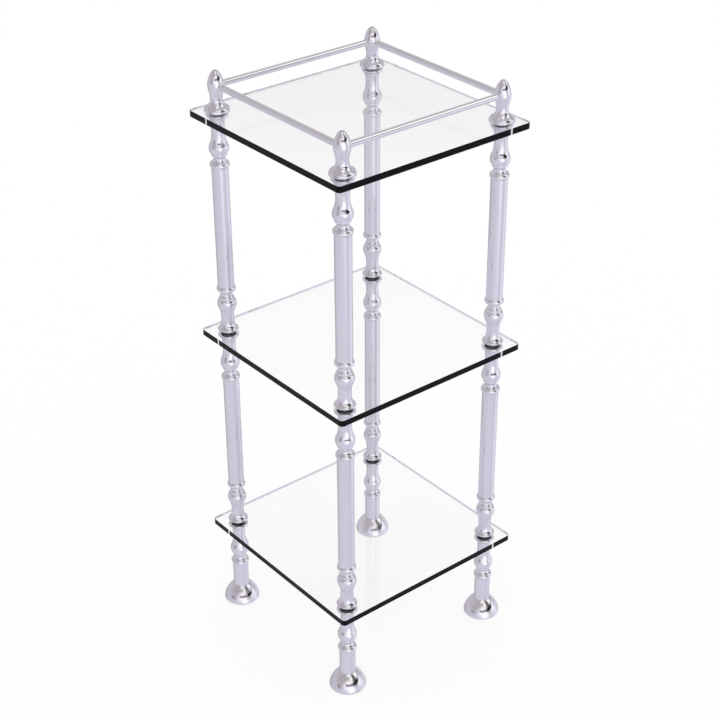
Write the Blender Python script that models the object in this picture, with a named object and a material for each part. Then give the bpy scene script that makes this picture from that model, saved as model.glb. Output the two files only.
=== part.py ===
"""Three-shelf etagere: four turned chrome posts clamp three glass shelves, with a gallery rail round the top.

Metres, +Z up. The feet stand on z = 0, the posts stand on a square centred on the Z axis and the front is -Y.
"""

import math

import bmesh
import bpy

# Glass shelves, whose heights are those of their top faces
SHELF_SIDE = 0.3556
SHELF_THICKNESS = 0.0095
SHELF_CORNER_RADIUS = 0.0062
SHELF_HOLE_RADIUS = 0.0072
BOTTOM_SHELF_HEIGHT = 0.1635
SHELF_PITCH = 0.369
POST_INSET = 0.0305

# Clearances where pieces seat on each other, slide into each other or reach round a grommet's lip
SEAT_GAP = 0.00025
SLIDE_GAP = 0.0003
LIP_GAP = 0.0012

# Rubber grommet in each shelf hole
GROMMET_LIP_RADIUS = 0.0130
GROMMET_LIP_THICKNESS = 0.0008

# Stud through each shelf hole and the tapped bore that takes it
STUD_RADIUS = 0.0040
STUD_GRIP = 0.0140
BORE_RUNOUT = 0.0020

# Column and leg tubes and the spigots in their ends
TUBE_RADIUS = 0.0130
TUBE_WALL = 0.0016
SPIGOT_LENGTH = 0.0120

# Turned fitting, from the flange at the glass to the bead at the tube
FLANGE_RADIUS = 0.0165
FLANGE_THICKNESS = 0.0048
FLANGE_ROUND = 0.0032
COVE_RADIUS = 0.0146
COVE_LENGTH = 0.0200
WAIST_RADIUS = 0.0103
FLARE_LENGTH = 0.0163
FLARE_RADIUS = 0.0140
BELLY_LENGTH = 0.0061
BELLY_RADIUS = 0.0153
SHOULDER_LENGTH = 0.0085
COLLAR_RADIUS = 0.0118
COLLAR_LENGTH = 0.0040
NECK_RADIUS = 0.0090
NECK_LENGTH = 0.0095
BEAD_STEP = 0.0021
BEAD_HEIGHT = 0.0096

# Domed foot
FOOT_RADIUS = 0.0298
FOOT_HEIGHT = 0.0300
FOOT_EDGE_HEIGHT = 0.0026
FOOT_EDGE_INSET = 0.0042

# Finial on each post
FINIAL_COLLAR_RADIUS = 0.0195
FINIAL_RIM_ROUND = 0.0010
FINIAL_SHOULDER_REACH = 0.0040
FINIAL_SHOULDER_RISE = 0.0068
FINIAL_SHOULDER_TURN = 71
FINIAL_NECK_HEIGHT = 0.0192
FINIAL_NECK_RADIUS = 0.0093
FINIAL_WIDEST_HEIGHT = 0.0382
FINIAL_RADIUS = 0.01245
FINIAL_TIP_LENGTH = 0.0237

# Gallery rails and their blind sockets in the finials
RAIL_RADIUS = 0.0049
SOCKET_DEPTH = 0.0062

# Facets round a turned piece
POST_SIDES = 12
FOOT_SIDES = 16
GROMMET_SIDES = 8
CORNER_STEPS = 3

# Places worked out from the sizes above
POST_OFFSET = SHELF_SIDE / 2 - POST_INSET
CLAMP_OFFSET = GROMMET_LIP_THICKNESS + 2 * SEAT_GAP
STUD_LENGTH = SHELF_THICKNESS + 2 * CLAMP_OFFSET + STUD_GRIP
SPIGOT_RADIUS = TUBE_RADIUS - TUBE_WALL - SLIDE_GAP
FINIAL_SKIRT_DEPTH = CLAMP_OFFSET - SLIDE_GAP
FINIAL_RECESS_RADIUS = GROMMET_LIP_RADIUS + LIP_GAP
SOCKET_END = FINIAL_RADIUS - SOCKET_DEPTH

SHELVES = ("bottom", "middle", "top")
# Each post's name, its corner of the square and the turn that points its finial's sockets at its neighbours
POSTS = (
    ("front_left", -1, -1, 0),
    ("front_right", 1, -1, 90),
    ("back_right", 1, 1, 180),
    ("back_left", -1, 1, 270),
)
# Each rail's name and its turn about Z from the front side
RAILS = (("front", 0), ("right", 90), ("back", 180), ("left", 270))


def clear_scene():
    """Remove every object of the scene."""
    for item in list(bpy.data.objects):
        bpy.data.objects.remove(item, do_unlink=True)


def make_material(name, colour, roughness, metallic, transmission=0.0):
    """Return a Principled material."""
    material = bpy.data.materials.new(name)
    material.use_nodes = True
    shader = material.node_tree.nodes["Principled BSDF"]
    shader.inputs["Base Color"].default_value = (*colour, 1.0)
    shader.inputs["Roughness"].default_value = roughness
    shader.inputs["Metallic"].default_value = metallic
    shader.inputs["Transmission Weight"].default_value = transmission
    return material


def ellipse_arc(centre, radii, start, end, steps):
    """(r, h) points on an ellipse, between two angles in degrees, where 0 points away from the axis."""
    angles = [math.radians(start + (end - start) * i / steps) for i in range(steps + 1)]
    return [(centre[0] + radii[0] * math.cos(a), centre[1] + radii[1] * math.sin(a)) for a in angles]


def cove(start, end, power, steps):
    """(r, h) points of a hollow curve that leaves its start steeply and runs out level along the axis."""
    shares = [i / steps for i in range(steps + 1)]
    return [
        (end[0] + (start[0] - end[0]) * (1 - t) ** power, start[1] + (end[1] - start[1]) * t)
        for t in shares
    ]


def swell(start, end, steps):
    """(r, h) points of an S-curve, level at both ends, without its first point."""
    shares = [(i + 1) / steps for i in range(steps)]
    return [
        (start[0] + (end[0] - start[0]) * (1 - math.cos(math.pi * t)) / 2, start[1] + (end[1] - start[1]) * t)
        for t in shares
    ]


def crown(start, end, power, roundness, steps):
    """(r, h) points of a dome, from its widest ring to its top, without its first point."""
    shares = [math.sin(math.pi / 2 * (i + 1) / steps) for i in range(steps)]
    return [
        (end[0] + (start[0] - end[0]) * (1 - t ** power) ** roundness, start[1] + (end[1] - start[1]) * t)
        for t in shares
    ]


def turned_mesh(name, profile, sides, closed=False):
    """Spin (r, z) points about Z. An open profile has both its ends on the axis."""
    bm = bmesh.new()
    verts = [bm.verts.new((r, 0.0, z)) for r, z in profile]
    edges = [bm.edges.new(pair) for pair in zip(verts, verts[1:])]
    if closed:
        edges.append(bm.edges.new((verts[-1], verts[0])))
    bmesh.ops.spin(
        bm,
        geom=verts + edges,
        cent=(0.0, 0.0, 0.0),
        axis=(0.0, 0.0, 1.0),
        angle=2 * math.pi,
        steps=sides,
        use_merge=True,
    )
    bmesh.ops.remove_doubles(bm, verts=bm.verts, dist=1e-6)
    return finish_mesh(name, bm)


def finish_mesh(name, bm):
    """Turn a bmesh into a mesh with faces outward, smooth apart from its sharp edges."""
    bmesh.ops.recalc_face_normals(bm, faces=bm.faces)
    mesh = bpy.data.meshes.new(name)
    bm.to_mesh(mesh)
    bm.free()
    mesh.shade_smooth()
    mesh.set_sharp_from_angle(angle=math.radians(40))
    return mesh


def fitting_outline():
    """(r, h) points of a fitting, from its flange face at h = 0 to its spigot's end, and its seat's h."""
    waist = FLANGE_THICKNESS + COVE_LENGTH
    flare = waist + FLARE_LENGTH
    belly = flare + BELLY_LENGTH
    collar = belly + SHOULDER_LENGTH
    bead = collar + COLLAR_LENGTH + NECK_LENGTH + BEAD_HEIGHT / 2
    bead_core = TUBE_RADIUS - BEAD_STEP
    points = [(FLANGE_RADIUS - FLANGE_ROUND, 0.0), (FLANGE_RADIUS, FLANGE_THICKNESS / 2)]
    points += cove((COVE_RADIUS, FLANGE_THICKNESS), (WAIST_RADIUS, waist), 4, 2)
    points += cove((FLARE_RADIUS, flare), (WAIST_RADIUS, waist), 2, 2)[1::-1]
    points += [(BELLY_RADIUS, belly)]
    shoulder = (BELLY_RADIUS - COLLAR_RADIUS, SHOULDER_LENGTH)
    points += ellipse_arc((COLLAR_RADIUS, belly), shoulder, 0, 90, 2)[1:]
    points += [(COLLAR_RADIUS, collar + COLLAR_LENGTH)]
    points += [(NECK_RADIUS, collar + COLLAR_LENGTH + NECK_LENGTH / 2)]
    points += ellipse_arc((bead_core, bead), (2 * BEAD_STEP, BEAD_HEIGHT / 2), -90, 60, 3)[1:]
    seat = points[-1][1]
    points += [(SPIGOT_RADIUS, seat), (SPIGOT_RADIUS, seat + SPIGOT_LENGTH), (0.0, seat + SPIGOT_LENGTH)]
    return points, seat


def stud_points():
    """(r, h) points of a stud below a flange face at h = 0, from its tip to its root."""
    return [(0.0, -STUD_LENGTH), (STUD_RADIUS, -STUD_LENGTH), (STUD_RADIUS, 0.0)]


def make_base_fitting():
    """Fitting that stands on a shelf: flange and stud below, spigot above."""
    return turned_mesh("base_fitting", stud_points() + fitting_outline()[0], POST_SIDES)


def make_top_fitting():
    """Fitting that carries a shelf: tapped bore in the flange above, spigot below."""
    bore_radius = STUD_RADIUS + SLIDE_GAP
    bore_depth = STUD_GRIP + BORE_RUNOUT
    points = [(0.0, bore_depth), (bore_radius, bore_depth), (bore_radius, 0.0)] + fitting_outline()[0]
    return turned_mesh("top_fitting", [(r, -h) for r, h in points], POST_SIDES)


def make_tube(name, length, sides):
    """Hollow tube that stands on its lower end."""
    bore = TUBE_RADIUS - TUBE_WALL
    profile = [(TUBE_RADIUS, length), (TUBE_RADIUS, 0.0), (bore, 0.0), (bore, length)]
    return turned_mesh(name, profile, sides, closed=True)


def make_foot():
    """Domed foot with a flat base and a spigot for the leg tube."""
    widest = (FOOT_RADIUS, FOOT_EDGE_HEIGHT)
    edge_centre = (FOOT_RADIUS - FOOT_EDGE_INSET, FOOT_EDGE_HEIGHT)
    points = [(0.0, 0.0)] + ellipse_arc(edge_centre, (FOOT_EDGE_INSET, FOOT_EDGE_HEIGHT), -90, 0, 2)
    points += crown(widest, (TUBE_RADIUS, FOOT_HEIGHT), 1.6, 0.8, 4)
    spigot_top = FOOT_HEIGHT + SPIGOT_LENGTH
    points += [(SPIGOT_RADIUS, FOOT_HEIGHT), (SPIGOT_RADIUS, spigot_top), (0.0, spigot_top)]
    return turned_mesh("foot", points, FOOT_SIDES)


def make_finial():
    """Finial with a stud below and two blind sockets, along +X and +Y, for the gallery rails."""
    neck = (FINIAL_NECK_RADIUS, FINIAL_NECK_HEIGHT)
    widest = (FINIAL_RADIUS, FINIAL_WIDEST_HEIGHT)
    ring = FINIAL_RIM_ROUND - FINIAL_SKIRT_DEPTH
    centre = (FINIAL_COLLAR_RADIUS - FINIAL_SHOULDER_REACH, ring)
    reach = (FINIAL_SHOULDER_REACH, FINIAL_SHOULDER_RISE)
    points = stud_points()
    points += [(FINIAL_RECESS_RADIUS, 0.0), (FINIAL_RECESS_RADIUS, -FINIAL_SKIRT_DEPTH)]
    points += [(FINIAL_COLLAR_RADIUS - FINIAL_RIM_ROUND, -FINIAL_SKIRT_DEPTH)]
    points += ellipse_arc(centre, reach, 0, FINIAL_SHOULDER_TURN, 2)
    points += cove(points[-1], neck, 2.9, 2)[1:]
    points += swell(neck, widest, 3)
    points += crown(widest, (0.0, FINIAL_WIDEST_HEIGHT + FINIAL_TIP_LENGTH), 1.75, 0.57, 4)
    solid = bpy.data.objects.new("finial_blank", turned_mesh("finial_blank", points, POST_SIDES))
    bpy.context.collection.objects.link(solid)
    cutters = [add_socket_cutter(solid, turn) for turn in (0, 90)]
    depsgraph = bpy.context.evaluated_depsgraph_get()
    mesh = bpy.data.meshes.new_from_object(solid.evaluated_get(depsgraph))
    mesh.name = "finial"
    for item in [solid] + cutters:
        bpy.data.objects.remove(item, do_unlink=True)
    return mesh


def add_socket_cutter(solid, turn):
    """Cut one rail socket into the finial's blank, at a turn about Z in degrees from +X."""
    radius = RAIL_RADIUS + SLIDE_GAP
    reach = 2 * FINIAL_RADIUS
    profile = [(0.0, reach), (radius, reach), (radius, SOCKET_END), (0.0, SOCKET_END)]
    cutter = bpy.data.objects.new("socket_cutter", turned_mesh("socket_cutter", profile, POST_SIDES))
    cutter.rotation_euler = (0.0, math.radians(90), math.radians(turn))
    cutter.location = (0.0, 0.0, FINIAL_WIDEST_HEIGHT)
    cutter.hide_render = True
    cutter.display_type = "WIRE"
    bpy.context.collection.objects.link(cutter)
    modifier = solid.modifiers.new("socket", "BOOLEAN")
    modifier.operation = "DIFFERENCE"
    modifier.solver = "EXACT"
    modifier.object = cutter
    return cutter


def make_grommet():
    """Rubber grommet that hugs a shelf's hole: a sleeve with a lip on each face of the glass."""
    bore = STUD_RADIUS + SLIDE_GAP
    sleeve = SHELF_HOLE_RADIUS - SLIDE_GAP
    inner = SHELF_THICKNESS / 2 + SEAT_GAP
    outer = inner + GROMMET_LIP_THICKNESS
    upper = [(sleeve, inner), (GROMMET_LIP_RADIUS, inner), (GROMMET_LIP_RADIUS, outer), (bore, outer)]
    lower = [(r, -h) for r, h in reversed(upper)]
    return turned_mesh("grommet", upper + lower, GROMMET_SIDES, closed=True)


def plan_arc(x, y, radius, start, end, steps):
    """(x, y) points on a circle, from one angle to another in degrees."""
    angles = [math.radians(start + (end - start) * i / steps) for i in range(steps + 1)]
    return [(x + radius * math.cos(a), y + radius * math.sin(a)) for a in angles]


def make_shelf():
    """Square glass plate with round corners and a hole at each post, with its top face at z = 0."""
    bm = bmesh.new()
    arm = SHELF_SIDE / 2 - SHELF_CORNER_RADIUS
    outline = []
    for quarter, (x, y) in enumerate(((1, 1), (-1, 1), (-1, -1), (1, -1))):
        start = 90 * quarter
        outline += plan_arc(x * arm, y * arm, SHELF_CORNER_RADIUS, start, start + 90, CORNER_STEPS)
    loops = [outline]
    for _, x, y, _ in POSTS:
        circle = plan_arc(x * POST_OFFSET, y * POST_OFFSET, SHELF_HOLE_RADIUS, 0, 360, POST_SIDES)
        loops.append(circle[:-1])
    edges = []
    for loop in loops:
        verts = [bm.verts.new((x, y, 0.0)) for x, y in loop]
        edges += [bm.edges.new(pair) for pair in zip(verts, verts[1:] + verts[:1])]
    faces = bmesh.ops.triangle_fill(bm, edges=edges, use_beauty=True)["geom"]
    faces = [item for item in faces if isinstance(item, bmesh.types.BMFace)]
    lower = bmesh.ops.extrude_face_region(bm, geom=faces)["geom"]
    lower_verts = [item for item in lower if isinstance(item, bmesh.types.BMVert)]
    bmesh.ops.translate(bm, verts=lower_verts, vec=(0.0, 0.0, -SHELF_THICKNESS))
    return finish_mesh("shelf", bm)


def make_rail():
    """Straight gallery rod along X, from socket to socket."""
    half = POST_OFFSET - SOCKET_END - SEAT_GAP
    profile = [(0.0, half), (RAIL_RADIUS, half), (RAIL_RADIUS, -half), (0.0, -half)]
    mesh = turned_mesh("rail", profile, POST_SIDES)
    for vert in mesh.vertices:
        x, y, z = vert.co
        vert.co = (z, y, -x)
    return mesh


def place(name, mesh, material, parent=None, height=0.0, turn=0.0):
    """Add one piece on the Z axis, or on its parent's, at a height and a turn in degrees."""
    piece = bpy.data.objects.new(name, mesh)
    if not mesh.materials:
        mesh.materials.append(material)
    piece.parent = parent
    piece.location = (0.0, 0.0, height)
    piece.rotation_euler = (0.0, 0.0, math.radians(turn))
    bpy.context.collection.objects.link(piece)
    return piece


def add_axis(name, x=0.0, y=0.0):
    """Add an empty that carries the pieces of one post or of the gallery."""
    axis = bpy.data.objects.new(name, None)
    axis.location = (x, y, 0.0)
    bpy.context.collection.objects.link(axis)
    return axis


def shelf_top(index):
    """Height of a shelf's top face."""
    return BOTTOM_SHELF_HEIGHT + index * SHELF_PITCH


def main():
    """Build every piece."""
    clear_scene()
    cast = make_material("polished_chrome_castings", (0.74, 0.73, 0.78), 0.06, 1.0)
    drawn = make_material("polished_chrome_tube", (0.72, 0.71, 0.77), 0.12, 1.0)
    glass = make_material("clear_glass", (0.93, 0.95, 0.95), 0.0, 0.0, 1.0)
    rubber = make_material("black_rubber", (0.02, 0.02, 0.022), 0.6, 0.0)

    seat = fitting_outline()[1]
    below = SHELF_THICKNESS + CLAMP_OFFSET
    leg_length = shelf_top(0) - below - seat - FOOT_HEIGHT - 2 * SEAT_GAP
    column_length = SHELF_PITCH - below - CLAMP_OFFSET - 2 * seat - 2 * SEAT_GAP
    foot = make_foot()
    leg_tube = make_tube("leg_tube", leg_length, FOOT_SIDES)
    column_tube = make_tube("column_tube", column_length, POST_SIDES)
    base_fitting = make_base_fitting()
    top_fitting = make_top_fitting()
    finial = make_finial()
    grommet = make_grommet()
    shelf = make_shelf()
    rail = make_rail()

    for post, x, y, turn in POSTS:
        axis = add_axis(post + "_post_axis", x * POST_OFFSET, y * POST_OFFSET)
        place(post + "_foot", foot, cast, axis)
        place(post + "_leg_tube", leg_tube, drawn, axis, FOOT_HEIGHT + SEAT_GAP)
        for index, level in enumerate(SHELVES):
            top = shelf_top(index)
            carrier = ("leg", "lower", "upper")[index]
            place(post + "_" + carrier + "_top_fitting", top_fitting, cast, axis, top - below)
            place(post + "_" + level + "_grommet", grommet, rubber, axis, top - SHELF_THICKNESS / 2)
            if level == "top":
                place(post + "_finial", finial, cast, axis, top + CLAMP_OFFSET, turn)
            else:
                column = ("lower", "upper")[index]
                tube_foot = top + CLAMP_OFFSET + seat + SEAT_GAP
                place(post + "_" + column + "_base_fitting", base_fitting, cast, axis, top + CLAMP_OFFSET)
                place(post + "_" + column + "_tube", column_tube, drawn, axis, tube_foot)

    for index, level in enumerate(SHELVES):
        place(level + "_shelf", shelf, glass, height=shelf_top(index))
    rail_height = shelf_top(len(SHELVES) - 1) + CLAMP_OFFSET + FINIAL_WIDEST_HEIGHT
    for side, turn in RAILS:
        rod = place(side + "_gallery_rail", rail, drawn, height=rail_height, turn=turn)
        rod.location.x = POST_OFFSET * math.sin(math.radians(turn))
        rod.location.y = -POST_OFFSET * math.cos(math.radians(turn))


main()
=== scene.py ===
"""Looks of a three-shelf etagere: chrome posts, glass shelves and a gallery rail in a white studio."""

import bmesh
import bpy
import numpy as np
from bpy.props import FloatProperty, FloatVectorProperty, IntProperty, PointerProperty
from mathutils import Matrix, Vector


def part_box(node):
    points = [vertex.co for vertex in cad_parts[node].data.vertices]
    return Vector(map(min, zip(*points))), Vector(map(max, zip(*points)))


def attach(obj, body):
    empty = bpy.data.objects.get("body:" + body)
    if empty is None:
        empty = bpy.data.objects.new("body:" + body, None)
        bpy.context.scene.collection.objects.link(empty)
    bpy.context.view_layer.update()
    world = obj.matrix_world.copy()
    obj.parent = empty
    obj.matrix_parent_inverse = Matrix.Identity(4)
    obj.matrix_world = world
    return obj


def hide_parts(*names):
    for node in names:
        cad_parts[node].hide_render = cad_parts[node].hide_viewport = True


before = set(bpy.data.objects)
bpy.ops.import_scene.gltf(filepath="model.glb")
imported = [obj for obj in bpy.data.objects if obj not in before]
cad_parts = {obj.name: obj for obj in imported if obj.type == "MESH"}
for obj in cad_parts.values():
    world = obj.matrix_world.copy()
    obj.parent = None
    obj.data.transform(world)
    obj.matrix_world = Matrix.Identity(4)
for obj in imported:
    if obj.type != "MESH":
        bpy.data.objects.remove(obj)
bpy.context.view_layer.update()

bl_info = {
    "name": "Glass shelf etagere",
    "version": (1, 0, 0),
    "blender": (4, 5, 0),
    "location": "View3D > Sidebar > Etagere",
    "description": "Builds the chrome posts, glass shelves and gallery rail of a three-shelf etagere",
    "category": "Object",
}

# Posts, shelves and rails by their places, and the run of tube that carries each shelf
POSTS = ("front_left", "front_right", "back_right", "back_left")
SHELVES = ("bottom", "middle", "top")
SIDES = ("front", "right", "back", "left")
CARRIERS = {"bottom": "leg", "middle": "lower", "top": "upper"}

# Clearances and small chamfers of the metal and rubber, in metres
SLIDE_GAP = 0.0003
STUD_CHAMFER = 0.0006
BORE_RUNOUT = 0.0020
COLLAR_ROUND = 0.0006
TUBE_REACH = 0.0002
TUBE_CHAMFER = 0.0003
RAIL_REACH = 0.0004
LIP_GAP = 0.00003
LIP_CHAMFER = 0.0002
FLOOR_GAP = 0.0002

# Steps along and round the rails, grommets and plates, and where a plate's rings lie from hole to border
RAIL_SIDES = 48
RAIL_STEPS = 13
GROMMET_SIDES = 48
PLATE_STEPS = 20
CORNER_STEPS = 13
PLATE_RINGS = (0.0, 0.04, 0.15, 0.4, 1.0)

# Points and patches that lie closer than this are one, in metres
SAME_POINT = 1e-7
WELD_GAP = 2e-6

# Angles in degrees: folds that stay sharp, and where the rounds of belly, bead and finial collar end
SHARP_METAL = 38.0
SHARP_GLASS = 30.0
BELLY_END = 84.0
BEAD_END = 60.0
SHOULDER_END = 71.0

# Curves: share of the flange's height below its widest ring, powers of coves, power and roundness of domes
FLANGE_RING = 0.52
FLANGE_COVE = 4.0
COLLAR_COVE = 3.0
BEAD_COVE = 2.0
FOOT_DOME = (1.6, 0.8)
ACORN_DOME = (1.75, 0.57)

# Camera at the photograph's place: metres, degrees, and the lens in pixels of the picture
CAMERA_PLACE = (-1.3935, -1.7227, 1.7972)
CAMERA_TURN = 39.554
CAMERA_DIP = 30.572
CAMERA_SHIFT = -0.0193
SENSOR_WIDTH = 36.0
LENS_PIXELS = 1624.0
PICTURE_PIXELS = 720.0

# Floor: half its side, how much of it is pure white, and its colour where chrome mirrors it through glass
FLOOR_HALF = 40.0
FLOOR_WHITE = 0.85
FLOOR_MIRRORED = (0.66, 0.635, 0.77)

# What the chrome mirrors: a wall, and panels with bearings, heights, softness across and up, and colour
WALL = (0.45, 0.42, 0.45)
PANELS = (
    ("back wall", -300.0, -141.0, -15.0, 110.0, 37.0, 9.0, (0.83, 0.80, 0.92)),
    ("left wall", 87.0, 300.0, -21.0, 110.0, 19.0, 6.0, (0.54, 0.50, 0.54)),
    ("ceiling behind", -300.0, -104.0, 26.0, 110.0, 13.0, 10.0, (0.52, 0.50, 0.54)),
    ("floor", -300.0, 300.0, -110.0, -7.0, 20.0, 8.0, (0.68, 0.66, 0.73)),
    ("dark back on the right", -300.0, -152.0, -4.0, 110.0, 12.0, 8.0, (0.43, 0.41, 0.44)),
    ("dark back on the left", 166.0, 300.0, -4.0, 110.0, 10.0, 8.0, (0.43, 0.41, 0.44)),
    ("wall behind on the right", -300.0, -169.0, 21.0, 46.0, 4.0, 9.0, (0.80, 0.80, 0.81)),
    ("wall behind on the left", 169.0, 300.0, 21.0, 46.0, 4.0, 9.0, (0.80, 0.80, 0.81)),
    ("glow of the floor on the left wall", -63.0, 167.0, -110.0, 10.0, 4.0, 19.0, (0.59, 0.56, 0.65)),
    ("floor on the left", -20.0, 115.0, -110.0, -24.0, 45.0, 8.0, (0.66, 0.64, 0.72)),
    ("shade far on the left", 110.0, 300.0, -110.0, -12.0, 17.0, 6.0, (0.49, 0.47, 0.54)),
    ("top of the left wall", 56.0, 166.0, 40.0, 110.0, 8.0, 6.0, (0.47, 0.44, 0.49)),
    ("bright floor", -138.0, 41.0, -110.0, -5.0, 37.0, 7.0, (0.68, 0.66, 0.80)),
    ("shade across the floor", -64.0, -50.0, -110.0, -14.0, 7.0, 6.0, (0.60, 0.585, 0.70)),
    ("glow on the right", -114.0, -90.0, -36.0, 54.0, 17.0, 3.0, (0.86, 0.84, 0.99)),
    ("pool of light on the right", -96.0, -66.0, -3.0, 21.0, 13.0, 10.0, (1.20, 1.19, 1.31)),
    ("shade beside the strip light", -135.0, -94.0, 19.0, 42.0, 18.0, 5.0, (0.30, 0.27, 0.32)),
    ("strip light", -112.0, -58.0, 26.0, 50.0, 22.0, 4.0, (1.24, 1.23, 1.24)),
    ("glow round the camera", -42.0, 24.0, -2.0, 25.0, 19.0, 15.0, (1.09, 1.06, 1.29)),
    ("top of the softbox", -66.0, 13.0, 54.0, 86.0, 23.0, 11.0, (1.09, 1.08, 1.11)),
    ("softbox", -63.0, -21.0, 33.0, 50.0, 14.0, 9.0, (1.20, 1.21, 1.23)),
    ("foot of the softbox", -35.0, 10.0, 16.0, 36.0, 15.0, 9.0, (1.04, 0.97, 1.01)),
    ("grey band under the softbox", -35.0, 14.0, 13.0, 22.0, 6.0, 3.0, (0.28, 0.28, 0.31)),
    ("pool of light on the floor", -39.0, -7.0, -23.0, 6.0, 22.0, 9.0, (1.30, 1.31, 1.32)),
    ("dark flag", -77.0, -44.0, 9.0, 62.0, 12.0, 15.0, (0.13, 0.115, 0.10)),
    ("foot of the dark flag", -88.0, -33.0, 11.0, 23.0, 13.0, 3.0, (0.030, 0.025, 0.023)),
    ("dark corner on the left", 46.0, 66.0, -2.0, 10.0, 11.0, 6.0, (0.25, 0.24, 0.245)),
)


# Sizes and colours

def length(name, description, default):
    """A length in metres that a user may change."""
    return FloatProperty(
        name=name, description=description, default=default, min=0.0, unit="LENGTH", precision=5
    )


def tint(name, description, default):
    """A colour that a user may change."""
    return FloatVectorProperty(
        name=name, description=description, default=default, size=3, min=0.0, max=1.0, subtype="COLOR"
    )


class FittingSizes(bpy.types.PropertyGroup):
    """Turning of the fittings, from the flange at the glass to the bead at the tube."""

    flange_radius: length("Flange radius", "Rim of the flange", 0.0165)
    flange_face: length("Flange face", "Radius of the flat face against the grommet", 0.0131)
    flange_height: length("Flange height", "From the flange's face to the start of its cove", 0.0048)
    cove_radius: length("Cove radius", "Where the cove leaves the flange", 0.0146)
    cove_length: length("Cove length", "From the flange to the waist", 0.0200)
    waist_radius: length("Waist radius", "Thinnest part below the belly", 0.0103)
    flare_length: length("Flare length", "From the waist to where the flare turns into the belly", 0.0163)
    flare_radius: length("Flare radius", "Where the flare turns into the belly", 0.0140)
    belly_length: length("Belly length", "From the flare to the belly's widest ring", 0.0061)
    belly_round: length("Belly round", "Half height of the ellipse that rounds the belly", 0.0097)
    belly_radius: length("Belly radius", "Widest ring of the belly", 0.0153)
    shoulder_length: length("Shoulder length", "From the belly's widest ring to the collar", 0.0085)
    collar_radius: length("Collar radius", "Small collar past the belly", 0.0118)
    collar_length: length("Collar length", "Height of the small collar", 0.0040)
    neck_radius: length("Neck radius", "Groove between the collar and the bead", 0.0090)
    neck_length: length("Neck length", "From the collar to the bead", 0.0095)
    bead_step: length("Bead step", "How far the bead stands proud of the tube", 0.0021)
    bead_height: length("Bead height", "Full height of the bead", 0.0096)


class PostSizes(bpy.types.PropertyGroup):
    """Tubes, feet, studs and finials."""

    tube_radius: length("Tube radius", "Outside of the column and leg tubes", 0.0130)
    tube_wall: length("Tube wall", "Wall of the tubes", 0.0016)
    spigot_length: length("Spigot length", "Plug of a fitting in a tube's end", 0.0120)
    stud_radius: length("Stud radius", "Stud through a shelf's hole", 0.0040)
    stud_grip: length("Stud grip", "Stud inside the bore below the shelf", 0.0140)
    foot_radius: length("Foot radius", "Widest ring of the domed foot", 0.0298)
    foot_height: length("Foot height", "From the floor to the leg tube", 0.0300)
    foot_edge: length("Foot edge", "Height of the foot's widest ring", 0.0026)
    foot_inset: length("Foot inset", "How far the flat base lies inside the widest ring", 0.0042)
    finial_collar_radius: length("Finial collar radius", "Rim of the finial's collar", 0.0195)
    finial_skirt: length("Finial skirt", "How far the collar's rim hangs round the grommet's lip", 0.0012)
    finial_recess: length("Finial recess", "Radius of the hollow over the grommet's lip", 0.0142)
    finial_edge: length("Finial edge", "Small round along the foot of the collar", 0.0004)
    finial_reach: length("Finial reach", "How far the collar's rounded shoulder reaches in", 0.0040)
    finial_rise: length("Finial rise", "How high the collar's rounded shoulder rises", 0.0068)
    finial_neck_height: length("Finial neck height", "From the collar's seat to the neck", 0.0192)
    finial_neck_radius: length("Finial neck radius", "Thinnest part of the finial", 0.0093)
    finial_swell_length: length("Finial swell length", "From the neck to the acorn's widest ring", 0.0190)
    finial_radius: length("Finial radius", "Widest ring of the acorn", 0.01245)
    finial_tip_length: length("Finial tip length", "From the acorn's widest ring to its tip", 0.0237)
    rail_radius: length("Rail radius", "Rods of the gallery rail", 0.0049)
    turning_steps: IntProperty(
        name="Turning steps", description="Faces round a turned piece", default=72, min=12
    )


class ShelfSizes(bpy.types.PropertyGroup):
    """Glass plates and the grommets in their holes."""

    corner_radius: length("Corner radius", "Round corners of the plate", 0.0062)
    hole_radius: length("Hole radius", "Hole for the stud and its grommet", 0.0072)
    thickness: length("Thickness", "Float glass, from its upper face down", 0.0100)
    # Left and front marks are painted highlights: white bars on the rim for light from the holes seen
    # through the glass
    left_highlight: length("Left highlight", "Painted highlight on the left side, from the side's middle", 0.1318)
    front_highlight: length("Front highlight", "Painted highlight on the front side, from the side's middle", 0.1385)
    highlight_width: length("Highlight width", "Length of a painted highlight", 0.0034)
    arris: length("Arris", "Polished chamfer along the plate's edges", 0.00015)
    lip_radius: length("Grommet lip radius", "Outside of the grommet's lips", 0.0125)
    lip_thickness: length("Grommet lip thickness", "Rubber between the glass and a flange", 0.0013)
    sleeve_gap: length("Grommet sleeve gap", "Air between the sleeve and the glass or stud", 0.0003)


class Finishes(bpy.types.PropertyGroup):
    """Colours of the finishes and of the studio."""

    chrome: tint("Chrome", "Polished chrome plate", (0.90, 0.895, 0.905))
    glass: tint("Glass", "Clear float glass", (0.998, 0.998, 0.999))
    rubber: tint("Rubber", "Black rubber grommets", (0.055, 0.052, 0.054))
    floor: tint("Floor", "White studio floor", (1.0, 1.0, 1.0))


# Surfaces

def line(start, end, count):
    """Straight run: start + t (end - start), t from 0 to 1."""
    t = np.linspace(0.0, 1.0, count)[:, None]
    return np.asarray(start) + t * (np.asarray(end) - np.asarray(start))


def arc(centre, radii, start, end, count):
    """Ellipse arc: centre + radii (cos a, sin a), a in degrees, where 0 points away from the axis."""
    a = np.radians(np.linspace(start, end, count))
    return np.stack([centre[0] + radii[0] * np.cos(a), centre[1] + radii[1] * np.sin(a)], axis=1)


def cove(start, end, power, count):
    """Hollow curve: the radius falls from start to end as (1 - t)^power while the height runs evenly."""
    t = np.linspace(0.0, 1.0, count)
    r = end[0] + (start[0] - end[0]) * (1.0 - t) ** power
    return np.stack([r, start[1] + (end[1] - start[1]) * t], axis=1)


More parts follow.
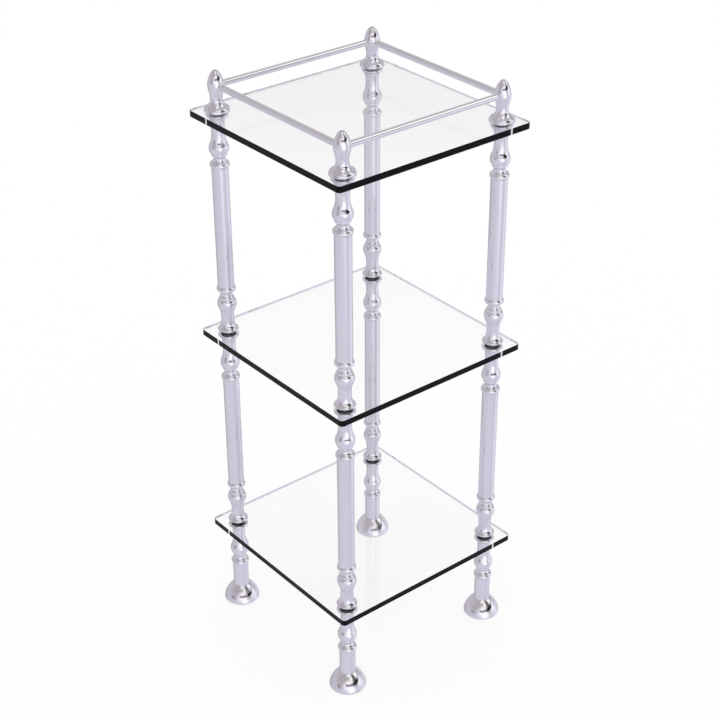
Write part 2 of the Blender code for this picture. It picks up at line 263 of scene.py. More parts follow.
def swell(start, end, count):
    """S-curve: the radius goes from start to end as (1 - cos pi t) / 2 while the height runs evenly."""
    t = np.linspace(0.0, 1.0, count)
    r = start[0] + (end[0] - start[0]) * (1.0 - np.cos(np.pi * t)) / 2.0
    return np.stack([r, start[1] + (end[1] - start[1]) * t], axis=1)


def crown(start, end, power, roundness, count):
    """Dome: the radius falls from start to end as (1 - t^power)^roundness, t = sin of an even angle."""
    t = np.sin(np.linspace(0.0, np.pi / 2.0, count))
    r = end[0] + (start[0] - end[0]) * (1.0 - t ** power) ** roundness
    return np.stack([r, start[1] + (end[1] - start[1]) * t], axis=1)


def joined(*sections):
    """One profile from several runs of (r, h) points, without the points that two runs share."""
    points = np.concatenate([np.asarray(section, dtype=float) for section in sections])
    keep = np.ones(len(points), dtype=bool)
    keep[1:] = np.abs(np.diff(points, axis=0)).max(axis=1) > SAME_POINT
    return points[keep]


def quads_between(lower, upper):
    """Quads from rows of vertex numbers to the rows above them, where each row closes on itself."""
    corners = [lower, np.roll(lower, -1, axis=1), np.roll(upper, -1, axis=1), upper]
    return np.stack(corners, axis=2).reshape(-1, 4)


def numbered(rows):
    """Numbers of the vertices of a grid of points, row by row."""
    return np.arange(rows.shape[0] * rows.shape[1]).reshape(rows.shape[:2])


def turned(profile, steps, x, y, z, closed=False):
    """Surface of revolution: (x + r cos a, y + r sin a, z + h) over a profile's (r, h) and even angles a.

    The profile runs up the outer side. An open one has both its ends on the axis, as single points.
    """
    a = np.linspace(0.0, 2.0 * np.pi, steps, endpoint=False)
    rings = profile if closed else profile[1:-1]
    r = rings[:, :1]
    h = np.broadcast_to(rings[:, 1:], (len(rings), steps))
    rows = np.stack([x + r * np.cos(a), y + r * np.sin(a), z + h], axis=2)
    verts = rows.reshape(-1, 3)
    grid = numbered(rows)
    if closed:
        return verts, quads_between(grid, np.roll(grid, -1, axis=0)).tolist()
    quads = quads_between(grid[:-1], grid[1:])
    first, last = len(verts), len(verts) + 1
    ends = [[x, y, z + profile[0, 1]], [x, y, z + profile[-1, 1]]]
    bottom = np.stack([np.full(steps, first), np.roll(grid[0], -1), grid[0]], axis=1)
    top = np.stack([np.full(steps, last), grid[-1], np.roll(grid[-1], -1)], axis=1)
    return np.concatenate([verts, ends]), quads.tolist() + bottom.tolist() + top.tolist()


def upside_down(profile):
    """The same turning the other way up, still running up the outer side."""
    return profile[::-1] * np.array([1.0, -1.0])


def add_piece(name, verts, faces, material, nodes):
    """Make a mesh piece that rides on the root body and stands for CAD nodes."""
    mesh = bpy.data.meshes.new(name)
    mesh.from_pydata(np.asarray(verts).tolist(), [], faces)
    mesh.validate()
    mesh.shade_smooth()
    mesh.set_sharp_from_angle(angle=np.radians(SHARP_METAL))
    mesh.materials.append(material)
    piece = bpy.data.objects.new(name, mesh)
    bpy.context.collection.objects.link(piece)
    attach(piece, "root")
    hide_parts(*nodes)
    return piece


# Places, read from the CAD nodes

def post_place(post):
    """(x, y) of a post's axis."""
    low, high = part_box(post + "_foot")
    return (low[0] + high[0]) / 2.0, (low[1] + high[1]) / 2.0


def shelf_heights(level):
    """(lower face, upper face) of a shelf."""
    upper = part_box(level + "_shelf")[1][2]
    return upper - bpy.context.scene.etagere_shelf.thickness, upper


def flange_height(post, level):
    """Upper face of the fitting that carries a shelf."""
    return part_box(post + "_" + CARRIERS[level] + "_top_fitting")[1][2]


def finial_seat():
    """Height at which the finials sit, on the upper lips of the top shelf's grommets."""
    return shelf_heights("top")[1] + bpy.context.scene.etagere_shelf.lip_thickness


# Materials

class Wire:
    """A socket in a node tree, on which sums write Math nodes."""

    def __init__(self, tree, socket):
        self.tree = tree
        self.socket = socket

    def node(self, kind, settings=None, sockets=None):
        """Add a node of a type, with its settings first and then the values or links of its sockets."""
        new = self.tree.nodes.new(kind)
        for key, value in (settings or {}).items():
            setattr(new, key, value)
        for key, value in (sockets or {}).items():
            if isinstance(value, Wire):
                self.tree.links.new(value.socket, new.inputs[key])
            else:
                new.inputs[key].default_value = value
        return new

    def out(self, kind, output, settings=None, sockets=None):
        """Add a node and return one of its outputs."""
        return Wire(self.tree, self.node(kind, settings, sockets).outputs[output])

    def math(self, operation, *values):
        """Add a Math node over wires and numbers."""
        return self.out("ShaderNodeMath", 0, {"operation": operation}, dict(enumerate(values)))

    def __add__(self, other):
        return self.math("ADD", self, other)

    def __radd__(self, other):
        return self.math("ADD", other, self)

    def __sub__(self, other):
        return self.math("SUBTRACT", self, other)

    def __rsub__(self, other):
        return self.math("SUBTRACT", other, self)

    def __mul__(self, other):
        return self.math("MULTIPLY", self, other)

    def __rmul__(self, other):
        return self.math("MULTIPLY", other, self)

    def clipped(self, low, high):
        """This value, ramped smoothly from 0 at low to 1 at high."""
        return self.out(
            "ShaderNodeMapRange",
            "Result",
            {"interpolation_type": "SMOOTHSTEP"},
            {"Value": self, "From Min": low, "From Max": high},
        )


def new_material(name):
    """An empty Principled material: (material, its shader, a wire to start from on Object coordinates)."""
    material = bpy.data.materials.new(name)
    material.use_nodes = True
    tree = material.node_tree
    shader = tree.nodes["Principled BSDF"]
    coords = tree.nodes.new("ShaderNodeTexCoord")
    return material, shader, Wire(tree, coords.outputs["Object"])


def link(wire, shader, socket):
    """Feed a wire into a shader's socket."""
    wire.tree.links.new(wire.socket, shader.inputs[socket])


def mixed(factor, first, second, label=""):
    """A colour between two others, each a colour or a wire, by a wire from 0 to 1."""
    under = first if isinstance(first, Wire) else (*first, 1.0)
    over = second if isinstance(second, Wire) else (*second, 1.0)
    settings = {"data_type": "RGBA", "label": label}
    return factor.out("ShaderNodeMix", 2, settings, {0: factor, 6: under, 7: over})


def noise(where, scale, detail, roughness=0.5):
    """Noise over a vector wire."""
    sockets = {"Vector": where, "Scale": scale, "Detail": detail, "Roughness": roughness}
    return where.out("ShaderNodeTexNoise", "Fac", None, sockets)


def stretched(where, scale):
    """Coordinates scaled by a different amount along each axis."""
    return where.out("ShaderNodeMapping", "Vector", None, {"Vector": where, "Scale": scale})


def shaded(colour, share):
    """A share of a colour."""
    return tuple(channel * share for channel in colour)


def bumped(height, strength, distance):
    """A normal that follows a wire of heights."""
    sockets = {"Strength": strength, "Distance": distance, "Height": height}
    return height.out("ShaderNodeBump", "Normal", None, sockets)


def chrome_material(name, grain):
    """Polished chrome plate: faint haze, and fine polishing lines along the grain's scale."""
    base = tuple(bpy.context.scene.etagere_finishes.chrome)
    material, shader, where = new_material(name)
    haze = noise(where, scale=18.0, detail=4.0).clipped(0.35, 0.75)
    lines = noise(stretched(where, grain), scale=1.0, detail=2.0)
    link(mixed(haze, base, shaded(base, 0.97)), shader, "Base Color")
    link(0.02 + haze * 0.015 + lines * 0.01, shader, "Roughness")
    link(bumped(lines, strength=0.004, distance=0.00002), shader, "Normal")
    shader.inputs["Metallic"].default_value = 1.0
    return material


def glass_material():
    """Clear float glass with the faintest smears on its faces."""
    base = tuple(bpy.context.scene.etagere_finishes.glass)
    material, shader, where = new_material("clear_float_glass")
    wiped = stretched(where, (5.0, 9.0, 5.0))
    smears = noise(wiped, scale=1.0, detail=5.0, roughness=0.6).clipped(0.5, 0.8)
    link(smears * 0.012, shader, "Roughness")
    link(mixed(smears, base, shaded(base, 0.995)), shader, "Base Color")
    shader.inputs["IOR"].default_value = 1.5
    shader.inputs["Transmission Weight"].default_value = 1.0
    return material


def rim_material():
    """Polished glass edge with painted shade: coloured almost black and mirroring less than the faces."""
    # Painted shade: the clear glass's colour at 1.2 per cent makes the rim read almost black
    base = shaded(bpy.context.scene.etagere_finishes.glass, 0.012)
    material, shader, where = new_material("polished_glass_rim")
    wheel = noise(stretched(where, (40.0, 40.0, 900.0)), scale=1.0, detail=3.0).clipped(0.4, 0.75)
    link(wheel * 0.003, shader, "Roughness")
    link(mixed(wheel, base, shaded(base, 0.9)), shader, "Base Color")
    # Lower IOR and specular tint dim the rim's reflection, painted shade as well
    shader.inputs["IOR"].default_value = 1.27
    shader.inputs["Transmission Weight"].default_value = 1.0
    shader.inputs["Specular Tint"].default_value = (0.6, 0.6, 0.61, 1.0)
    return material


def painted_highlight_material():
    """Painted highlights: short white marks on the rim beside the side posts, for light from the holes."""
    base = tuple(bpy.context.scene.etagere_finishes.glass)
    material, shader, where = new_material("painted_rim_highlight")
    highlight_speckle = noise(where, scale=700.0, detail=2.0).clipped(0.35, 0.75)
    link(mixed(highlight_speckle, shaded(base, 0.8), shaded(base, 0.5)), shader, "Base Color")
    shader.inputs["Roughness"].default_value = 0.6
    return material


def rubber_material():
    """Black moulded rubber with a fine bloom."""
    base = tuple(bpy.context.scene.etagere_finishes.rubber)
    material, shader, where = new_material("black_moulded_rubber")
    bloom = noise(where, scale=900.0, detail=2.0).clipped(0.4, 0.8)
    link(mixed(bloom, base, shaded(base, 1.8)), shader, "Base Color")
    link(0.45 + bloom * 0.2, shader, "Roughness")
    link(bumped(bloom, strength=0.1, distance=0.0002), shader, "Normal")
    return material


def material_for(name):
    """A finish by name, made once."""
    makers = {
        "turned_chrome": lambda: chrome_material("turned_chrome", (60.0, 60.0, 2600.0)),
        "drawn_chrome": lambda: chrome_material("drawn_chrome", (1800.0, 1800.0, 12.0)),
        "rail_chrome_x": lambda: chrome_material("rail_chrome_x", (12.0, 1800.0, 1800.0)),
        "rail_chrome_y": lambda: chrome_material("rail_chrome_y", (1800.0, 12.0, 1800.0)),
        "clear_float_glass": glass_material,
        "polished_glass_rim": rim_material,
        # painted highlights on the rim
        "painted_rim_highlight": painted_highlight_material,
        "black_moulded_rubber": rubber_material,
    }
    return bpy.data.materials.get(name) or makers[name]()


# Profiles of the turned pieces

def fitting_profile():
    """Outer (r, h) run of a fitting, from its flange face at h = 0 to the axis at its spigot's end."""
    fitting = bpy.context.scene.etagere_fitting
    post = bpy.context.scene.etagere_post
    waist = (fitting.waist_radius, fitting.flange_height + fitting.cove_length)
    flare = (fitting.flare_radius, waist[1] + fitting.flare_length)
    belly = flare[1] + fitting.belly_length
    collar = belly + fitting.shoulder_length
    groove = collar + fitting.collar_length
    neck = (fitting.neck_radius, groove + fitting.neck_length / 2.0)
    core = (post.tube_radius - fitting.bead_step, groove + fitting.neck_length)
    half_bead = fitting.bead_height / 2.0
    bead = groove + fitting.neck_length + half_bead
    seat = bead + half_bead * np.sin(np.radians(BEAD_END))
    spigot = post.tube_radius - post.tube_wall - SLIDE_GAP
    rim = (fitting.flange_radius - fitting.flange_face, fitting.flange_height * FLANGE_RING)
    rim_end = np.degrees(np.arccos((fitting.cove_radius - fitting.flange_face) / rim[0]))
    turn = np.arcsin(fitting.belly_length / fitting.belly_round)
    bulge = ((fitting.belly_radius - fitting.flare_radius) / (1.0 - np.cos(turn)), fitting.belly_round)
    power = bulge[0] / bulge[1] * np.tan(turn) * fitting.flare_length / (flare[0] - waist[0])
    shoulder = (fitting.belly_radius - fitting.collar_radius, fitting.shoulder_length)
    lip = fitting.collar_radius - COLLAR_ROUND
    return joined(
        arc((fitting.flange_face, rim[1]), rim, -90.0, rim_end, 14),
        cove((fitting.cove_radius, fitting.flange_height), waist, FLANGE_COVE, 24),
        cove(flare, waist, power, 18)[::-1],
        arc((fitting.belly_radius - bulge[0], belly), bulge, -np.degrees(turn), 0.0, 12),
        arc((fitting.collar_radius, belly), shoulder, 0.0, BELLY_END, 14),
        line((fitting.collar_radius, collar), (fitting.collar_radius, groove - COLLAR_ROUND), 3),
        arc((lip, groove - COLLAR_ROUND), (COLLAR_ROUND, COLLAR_ROUND), 0.0, 90.0, 4),
        cove((lip, groove), neck, COLLAR_COVE, 8),
        cove(core, neck, BEAD_COVE, 7)[::-1],
        arc((core[0], bead), (2.0 * fitting.bead_step, half_bead), -90.0, BEAD_END, 16),
        line((post.tube_radius, seat), (spigot, seat), 2),
        line((spigot, seat), (spigot, seat + post.spigot_length), 2),
        [(0.0, seat + post.spigot_length)],
    )


def stud_run(clamp):
    """(r, h) run of a stud below a flange face at h = 0, through a clamped height into the bore below."""
    post = bpy.context.scene.etagere_post
    radius = post.stud_radius
    tip = -(clamp + post.stud_grip)
    chamfer = line((radius - STUD_CHAMFER, tip), (radius, tip + STUD_CHAMFER), 2)
    return joined([(0.0, tip)], chamfer, [(radius, 0.0)])


def bore_run():
    """(r, h) run of the tapped bore in a flange face at h = 0, from its floor to its mouth."""
    post = bpy.context.scene.etagere_post
    radius = post.stud_radius + SLIDE_GAP
    depth = post.stud_grip + BORE_RUNOUT
    return joined([(0.0, depth), (radius, depth), (radius, 0.0)])


def tube_profile(tall):
    """(r, h) loop of a tube from h = 0 to its height: outside with chamfered ends, then the bore."""
    post = bpy.context.scene.etagere_post
    radius = post.tube_radius
    mouth = radius - TUBE_CHAMFER
    bore = radius - post.tube_wall
    return joined(
        line((mouth, 0.0), (radius, TUBE_CHAMFER), 2),
        line((radius, TUBE_CHAMFER), (radius, tall - TUBE_CHAMFER), 24),
        line((radius, tall - TUBE_CHAMFER), (mouth, tall), 2),
        line((bore, tall), (bore, 0.0), 2),
    )


def foot_profile():
    """(r, h) run of a domed foot: flat base, rounded edge, dome and the spigot in the leg tube."""
    post = bpy.context.scene.etagere_post
    widest = (post.foot_radius, post.foot_edge)
    spigot = post.tube_radius - post.tube_wall - SLIDE_GAP
    end = post.foot_height + post.spigot_length
    return joined(
        [(0.0, 0.0)],
        arc((widest[0] - post.foot_inset, widest[1]), (post.foot_inset, widest[1]), -90.0, 0.0, 12),
        crown(widest, (post.tube_radius, post.foot_height), *FOOT_DOME, 48),
        [(spigot, post.foot_height), (spigot, end), (0.0, end)],
    )


def finial_profile():
    """(r, h) run of a finial above its seat at h = 0: hollow over the grommet, collar, cove and acorn."""
    post = bpy.context.scene.etagere_post
    edge = post.finial_edge
    neck = (post.finial_neck_radius, post.finial_neck_height)
    widest = (post.finial_radius, post.finial_neck_height + post.finial_swell_length)
    ring = edge - post.finial_skirt
    reach = (post.finial_reach, post.finial_rise)
    shoulder = arc((post.finial_collar_radius - reach[0], ring), reach, 0.0, SHOULDER_END, 18)
    start = tuple(shoulder[-1])
    slope = reach[0] / reach[1] * np.tan(np.radians(SHOULDER_END))
    power = slope * (neck[1] - start[1]) / (start[0] - neck[0])
    return joined(
        [(post.finial_recess, 0.0), (post.finial_recess, -post.finial_skirt)],
        arc((post.finial_collar_radius - edge, ring), (edge, edge), -90.0, 0.0, 7),
        shoulder,
        cove(start, neck, power, 26),
        swell(neck, widest, 22),
        crown(widest, (0.0, widest[1] + post.finial_tip_length), *ACORN_DOME, 36),
    )


def lip_profile(half, room):
    """(r, h) run of half a grommet: sleeve through half the glass, lip that fills the room, and bore."""
    shelf = bpy.context.scene.etagere_shelf
    bore = bpy.context.scene.etagere_post.stud_radius + shelf.sleeve_gap
    sleeve = shelf.hole_radius - shelf.sleeve_gap
    inner = shelf.lip_radius - LIP_CHAMFER
    low, high = half + LIP_GAP, half + room - LIP_GAP
    return joined(
        line((sleeve, low), (inner, low), 4),
        line((shelf.lip_radius, low + LIP_CHAMFER), (shelf.lip_radius, high - LIP_CHAMFER), 2),
        line((inner, high), (bore, high), 4),
    )


def acorn_radius(height):
    """Radius of the acorn at heights above the finial's seat."""
    profile = finial_profile()
    acorn = profile[profile[:, 1] > bpy.context.scene.etagere_post.finial_neck_height]
    return np.interp(height, acorn[:, 1], acorn[:, 0])


# Rails and plates

def coped_rod(centre, along, seat):
    """Round rod whose ends follow the acorns, along X (0) or Y (1), with the finials' seat at a height.

    A circle of even angles a is carried along the rod. Each line of the rod ends where the acorn's radius
    R at that height meets the line's offset w to the side, at sqrt(R^2 - w^2) from the post's axis.
    """
    radius = bpy.context.scene.etagere_post.rail_radius
    a = np.linspace(0.0, 2.0 * np.pi, RAIL_SIDES, endpoint=False)
    side, up = radius * np.cos(a), radius * np.sin(a)
    reach = acorn_radius(centre[2] + up - seat)
    axis = abs(post_place(POSTS[0])[0])
    half = axis - np.sqrt(np.maximum(reach ** 2 - side ** 2, 0.0)) + RAIL_REACH
    t = np.linspace(-1.0, 1.0, RAIL_STEPS)[:, None]
    rows = np.empty((RAIL_STEPS, RAIL_SIDES, 3))
    rows[:, :, along] = centre[along] + t * half
    rows[:, :, 1 - along] = centre[1 - along] + (side if along == 1 else -side)
    rows[:, :, 2] = centre[2] + up
    grid = numbered(rows)
    caps = [grid[0][::-1].tolist(), grid[-1].tolist()]
    return rows.reshape(-1, 3), quads_between(grid[:-1], grid[1:]).tolist() + caps


def weld(mesh):
    """Merge the patches of a mesh along their shared borders and turn every face outwards."""
    shell = bmesh.new()
    shell.from_mesh(mesh)
    bmesh.ops.remove_doubles(shell, verts=shell.verts, dist=WELD_GAP)
    bmesh.ops.recalc_face_normals(shell, faces=shell.faces)
    shell.to_mesh(mesh)
    shell.free()
    mesh.shade_smooth()
    mesh.set_sharp_from_angle(angle=np.radians(SHARP_GLASS))


def quarter_border(half, corner, marks):
    """Border of a quarter plate, from the plate's middle round the corner: points and their outer part.

    The sides run straight in even steps, cut once more at the ends of each mark, and the corner is an arc.
    """
    count = PLATE_STEPS
    inner = np.sort(np.concatenate([np.linspace(0.0, half - corner, count - len(marks)), marks]))
    bend = np.radians(np.linspace(0.0, 90.0, CORNER_STEPS))[1:-1]
    outer = np.concatenate([
        np.stack([np.full(count, half), inner], axis=1),
        half - corner + corner * np.stack([np.cos(bend), np.sin(bend)], axis=1),
        np.stack([inner[::-1], np.full(count, half)], axis=1),
    ])
    base = np.linspace(0.0, half, count + 1)[:-1]
    start = np.stack([base, np.zeros(count)], axis=1)
    back = np.stack([np.zeros(count - 1), base[:0:-1]], axis=1)
    return np.concatenate([start, outer, back]), slice(count, count + len(outer))


def raised(points, height):
    """Points of a plane at a height."""
    return np.concatenate([points, np.full(points.shape[:-1] + (1,), height)], axis=-1)


def glass_plate(half, low, high):
    """Square plate with round corners, polished arris and a hole at each post: points, faces and finishes.

    Each quarter of a face is a grid between the hole's circle (v = 0) and the quarter's border (v = 1),
    along straight lines from the hole's centre. The quarter's edge is a profile of arris, side and arris
    carried along the outer border, and the hole's wall joins the two circles. Mirror copies make the four
    quarters. Finish 0 is the clear glass, 1 the rim and 2 the painted highlights in the rim, white marks
    for light from the holes seen through the glass: one on the left side by the back left post and one on
    the front side by the front right post.
    """
    shelf = bpy.context.scene.etagere_shelf
    arris = shelf.arris
    half_highlight = shelf.highlight_width / 2.0
    hole = abs(post_place(POSTS[0])[0])
    marks = np.add.outer([shelf.left_highlight, shelf.front_highlight], [-half_highlight, half_highlight]).ravel()
    border, outer = quarter_border(half - arris, shelf.corner_radius - arris, marks)
    proud = quarter_border(half, shelf.corner_radius, marks)[0]
    arm = border - hole
    circle = hole + shelf.hole_radius * arm / np.linalg.norm(arm, axis=1, keepdims=True)
    v = np.array(PLATE_RINGS)[:, None, None]
    flat = circle + v * (border - circle)
    top, bottom = raised(flat, high), raised(flat, low)
    wall = np.stack([bottom[0], top[0]])
    heights = (high, high - arris, low + arris, low)
    paths = (border, proud, proud, border)
    edge = np.stack([raised(path[outer], height) for path, height in zip(paths, heights)])
    x, y = (edge[0, 1:, :2] + edge[0, :-1, :2]).T / 2.0
    # Rim faces under the painted highlights: left side by the back left post, front side by the front
    # right post
    highlighted = {
        (-1.0, 1.0): (x > y) & (np.abs(y - shelf.left_highlight) < half_highlight),
        (1.0, -1.0): (y > x) & (np.abs(x - shelf.front_highlight) < half_highlight),
    }
    verts, faces, finishes, count = [], [], [], 0
    for mirror in ((1.0, 1.0), (-1.0, 1.0), (-1.0, -1.0), (1.0, -1.0)):
        for rows in (top, bottom, edge, wall):
            grid = numbered(rows)
            quads = quads_between(grid[:-1], grid[1:])
            finish = np.zeros(len(quads), np.int32)
            if rows is edge:
                quads = quads.reshape(len(edge) - 1, -1, 4)[:, :-1].reshape(-1, 4)
                finish = np.tile(1 + highlighted.get(mirror, np.zeros(len(x), bool)), len(edge) - 1)
            verts.append(rows.reshape(-1, 3) * np.array([*mirror, 1.0]))
            faces += (quads + count).tolist()
            finishes.append(finish)
            count += grid.size
    return np.concatenate(verts), faces, np.concatenate(finishes).astype(np.int32)


# Studio

def ray_wire(tree, name):
    """One output of the Light Path node."""
    return Wire(tree, tree.nodes.new("ShaderNodeLightPath").outputs[name])


def seen_wire(tree):
    """1 for rays that show the background: from the camera, off mirror-like metal and through glass."""
    seen = ray_wire(tree, "Is Camera Ray")
    for name in ("Is Glossy Ray", "Is Transmission Ray"):
        seen = seen.math("MAXIMUM", seen, ray_wire(tree, name))
    return seen


def make_floor():
    """Plain white floor that keeps a trace of the object's shadow."""
    mesh = bpy.data.meshes.new("studio_floor")
    corners = [(-1.0, -1.0), (1.0, -1.0), (1.0, 1.0), (-1.0, 1.0)]
    mesh.from_pydata(raised(FLOOR_HALF * np.array(corners), 0.0).tolist(), [], [(0, 1, 2, 3)])
    floor = bpy.data.objects.new("studio_floor", mesh)
    floor.location.z = -FLOOR_GAP
    floor.visible_glossy = False
    bpy.context.collection.objects.link(floor)
    material = bpy.data.materials.new("studio_floor")
    material.use_nodes = True
    tree = material.node_tree
    tree.nodes.clear()
    seen = seen_wire(tree)
    colour = tuple(bpy.context.scene.etagere_finishes.floor)
    matt = seen.out("ShaderNodeBsdfDiffuse", 0, None, {"Color": (*colour, 1.0)})
    mirrored = seen.math("MINIMUM", ray_wire(tree, "Glossy Depth"), 1.0)
    shown = mixed(mirrored, (1.0, 1.0, 1.0), FLOOR_MIRRORED)
    white = seen.out("ShaderNodeEmission", 0, None, {"Color": shown, "Strength": 1.0})
    mix = seen.out("ShaderNodeMixShader", 0, None, {0: seen * FLOOR_WHITE, 1: matt, 2: white})
    seen.node("ShaderNodeOutputMaterial", None, {"Surface": mix})
    mesh.materials.append(material)


def between(value, low, high, soft):
    """1 where a value lies from low to high, falling to 0 over a soft border."""
    return value.clipped(low - soft, low + soft) * (1.0 - value.clipped(high - soft, high + soft))


def make_world():
    """White studio: even light, a white background, and softboxes and a dark flag for the metal to mirror.

    A direction is read as a bearing, 0 over the photograph's camera and growing to its left, and a height
    above the floor, both in degrees. Each panel is laid over the one before as a patch of the two.
    """
    world = bpy.data.worlds.new("white_studio")
    bpy.context.scene.world = world
    world.use_nodes = True
    tree = world.node_tree
    tree.nodes.clear()
    way = Wire(tree, tree.nodes.new("ShaderNodeTexCoord").outputs["Generated"])
    split = way.node("ShaderNodeSeparateXYZ", None, {0: way})
    x, y, z = (Wire(tree, split.outputs[axis]) for axis in "XYZ")
    cos, sin = np.cos(np.radians(CAMERA_TURN)), np.sin(np.radians(CAMERA_TURN))
    bearing = way.math("ARCTAN2", y * sin - x * cos, x * -sin - y * cos) * np.degrees(1.0)
    height = way.math("ARCSINE", z) * np.degrees(1.0)
    room = WALL
    for name, left, right, low, high, soft, rise, colour in PANELS:
        patch = between(bearing, left, right, soft) * between(height, low, high, rise)
        room = mixed(patch, room, colour, name)
    mirrored = way.math("MINIMUM", ray_wire(tree, "Glossy Depth"), 1.0)
    shown = mixed(mirrored, (1.0, 1.0, 1.0), room)
    background = way.out("ShaderNodeBackground", 0, None, {"Color": shown, "Strength": 1.0})
    way.node("ShaderNodeOutputWorld", None, {"Surface": background})


def make_camera():
    """Camera at the photograph's viewing angle."""
    data = bpy.data.cameras.new("photo_camera")
    data.sensor_width = SENSOR_WIDTH
    data.lens = SENSOR_WIDTH * LENS_PIXELS / PICTURE_PIXELS
    data.shift_x = CAMERA_SHIFT
    camera = bpy.data.objects.new("photo_camera", data)
    camera.location = CAMERA_PLACE
    camera.rotation_euler = (np.radians(90.0 - CAMERA_DIP), 0.0, np.radians(-CAMERA_TURN))
    bpy.context.collection.objects.link(camera)
    bpy.context.scene.camera = camera


# Operators, one for each group of like pieces

class ETAGERE_OT_feet(bpy.types.Operator):
    """Turn the domed chrome feet"""

    bl_idname = "etagere.feet"
    bl_label = "Domed feet"

    def execute(self, context):
        steps = context.scene.etagere_post.turning_steps
        chrome = material_for("turned_chrome")
        for post in POSTS:
            verts, faces = turned(foot_profile(), steps, *post_place(post), 0.0)
            add_piece(post + "_domed_foot", verts, faces, chrome, [post + "_foot"])
        return {"FINISHED"}


class ETAGERE_OT_tubes(bpy.types.Operator):
    """Draw the leg tubes and the column tubes"""

    bl_idname = "etagere.tubes"
    bl_label = "Chrome tubes"

    def execute(self, context):
        steps = context.scene.etagere_post.turning_steps
        chrome = material_for("drawn_chrome")
        for post in POSTS:
            for part in ("leg_tube", "lower_tube", "upper_tube"):
                node = post + "_" + part
                low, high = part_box(node)
                profile = tube_profile(high[2] - low[2] + 2.0 * TUBE_REACH)
                verts, faces = turned(profile, steps, *post_place(post), low[2] - TUBE_REACH, closed=True)
                add_piece(node + "_drawn", verts, faces, chrome, [node])
        return {"FINISHED"}


class ETAGERE_OT_fittings(bpy.types.Operator):
    """Turn the fittings that clamp the glass, under and above each shelf"""

    bl_idname = "etagere.fittings"
    bl_label = "Turned fittings"

    def execute(self, context):
        steps = context.scene.etagere_post.turning_steps
        lip = context.scene.etagere_shelf.lip_thickness
        chrome = material_for("turned_chrome")
        outer = fitting_profile()
        carrier = upside_down(joined(bore_run(), outer))
        for post in POSTS:
            place = post_place(post)
            for level, above in zip(SHELVES, ("lower", "upper", None)):
                node = post + "_" + CARRIERS[level] + "_top_fitting"
                flange = flange_height(post, level)
                verts, faces = turned(carrier, steps, *place, flange)
                add_piece(node + "_turned", verts, faces, chrome, [node])
                if above:
                    node = post + "_" + above + "_base_fitting"
                    face = shelf_heights(level)[1] + lip
                    clamp = joined(stud_run(face - flange), outer)
                    verts, faces = turned(clamp, steps, *place, face)
                    add_piece(node + "_turned", verts, faces, chrome, [node])
        return {"FINISHED"}


class ETAGERE_OT_finials(bpy.types.Operator):
    """Turn the acorn finials above the top shelf"""

    bl_idname = "etagere.finials"
    bl_label = "Acorn finials"

    def execute(self, context):
        steps = context.scene.etagere_post.turning_steps
        chrome = material_for("turned_chrome")
        seat = finial_seat()
        profile = joined(stud_run(seat - flange_height(POSTS[0], "top")), finial_profile())
        for post in POSTS:
            verts, faces = turned(profile, steps, *post_place(post), seat)
            add_piece(post + "_acorn_finial", verts, faces, chrome, [post + "_finial"])
        return {"FINISHED"}


class ETAGERE_OT_rails(bpy.types.Operator):
    """Run the gallery rods from finial to finial"""

    bl_idname = "etagere.rails"
    bl_label = "Gallery rails"

    def execute(self, context):
        for side in SIDES:
            node = side + "_gallery_rail"
            low, high = (np.array(corner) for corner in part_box(node))
            along = 0 if high[0] - low[0] > high[1] - low[1] else 1
            verts, faces = coped_rod((low + high) / 2.0, along, finial_seat())
            finish = "rail_chrome_x" if along == 0 else "rail_chrome_y"
            add_piece(node + "_rod", verts, faces, material_for(finish), [node])
        return {"FINISHED"}


class ETAGERE_OT_shelves(bpy.types.Operator):
    """Cut the glass shelves"""

    bl_idname = "etagere.shelves"
    bl_label = "Glass shelves"

    def execute(self, context):
        glass = material_for("clear_float_glass")
        for level in SHELVES:
            node = level + "_shelf"
            low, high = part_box(node)
            verts, faces, finishes = glass_plate((high[0] - low[0]) / 2.0, *shelf_heights(level))
            piece = add_piece(node + "_plate", verts, faces, glass, [node])
            # the rim's finish, and the painted highlights on the rim
            for finish in ("polished_glass_rim", "painted_rim_highlight"):
                piece.data.materials.append(material_for(finish))
            piece.data.polygons.foreach_set("material_index", finishes)
            weld(piece.data)
        return {"FINISHED"}


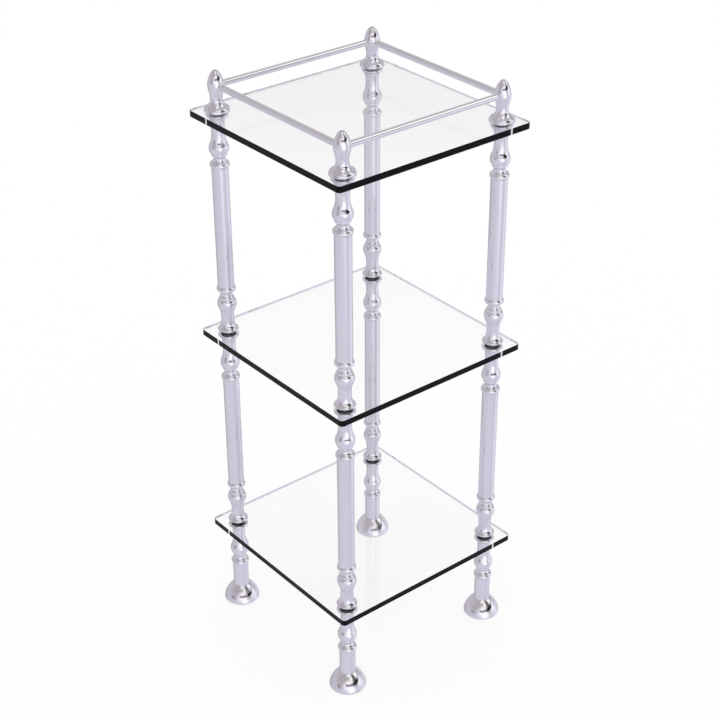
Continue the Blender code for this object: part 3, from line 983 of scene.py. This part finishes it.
class ETAGERE_OT_grommets(bpy.types.Operator):
    """Mould the rubber grommets in the shelf holes"""

    bl_idname = "etagere.grommets"
    bl_label = "Rubber grommets"

    def execute(self, context):
        lip = context.scene.etagere_shelf.lip_thickness
        rubber = material_for("black_moulded_rubber")
        for level in SHELVES:
            lower, upper = shelf_heights(level)
            middle, half = (lower + upper) / 2.0, (upper - lower) / 2.0
            below = lower - flange_height(POSTS[0], level)
            profile = joined(upside_down(lip_profile(half, below)), lip_profile(half, lip))
            for post in POSTS:
                node = post + "_" + level + "_grommet"
                verts, faces = turned(profile, GROMMET_SIDES, *post_place(post), middle, closed=True)
                add_piece(node + "_moulded", verts, faces, rubber, [node])
        return {"FINISHED"}


class ETAGERE_OT_stage(bpy.types.Operator):
    """Set the white studio: floor, light and camera"""

    bl_idname = "etagere.stage"
    bl_label = "White studio"

    def execute(self, context):
        make_floor()
        make_world()
        make_camera()
        context.scene.view_settings.view_transform = "Standard"
        return {"FINISHED"}


class ETAGERE_PT_panel(bpy.types.Panel):
    """Buttons and sizes of the etagere"""

    bl_label = "Etagere"
    bl_idname = "ETAGERE_PT_panel"
    bl_space_type = "VIEW_3D"
    bl_region_type = "UI"
    bl_category = "Etagere"

    def draw(self, context):
        for operator in OPERATORS:
            self.layout.operator(operator.bl_idname)
        for group, _ in SETTINGS:
            box = self.layout.box()
            settings = getattr(context.scene, group)
            for key in settings.__annotations__:
                box.prop(settings, key)


SETTINGS = (
    ("etagere_fitting", FittingSizes),
    ("etagere_post", PostSizes),
    ("etagere_shelf", ShelfSizes),
    ("etagere_finishes", Finishes),
)
OPERATORS = (
    ETAGERE_OT_feet,
    ETAGERE_OT_tubes,
    ETAGERE_OT_fittings,
    ETAGERE_OT_finials,
    ETAGERE_OT_rails,
    ETAGERE_OT_shelves,
    ETAGERE_OT_grommets,
    ETAGERE_OT_stage,
)


def register():
    """Register the classes and hang the settings on the scene."""
    for name, group in SETTINGS:
        bpy.utils.register_class(group)
        setattr(bpy.types.Scene, name, PointerProperty(type=group))
    for item in OPERATORS + (ETAGERE_PT_panel,):
        bpy.utils.register_class(item)


def unregister():
    """Take the settings and the classes away again."""
    for item in (ETAGERE_PT_panel,) + OPERATORS[::-1]:
        bpy.utils.unregister_class(item)
    for name, group in SETTINGS[::-1]:
        delattr(bpy.types.Scene, name)
        bpy.utils.unregister_class(group)


def main():
    """Build every piece and the studio."""
    register()
    for name in ("feet", "tubes", "fittings", "finials", "rails", "shelves", "grommets", "stage"):
        getattr(bpy.ops.etagere, name)()


if __name__ == "__main__":
    main()
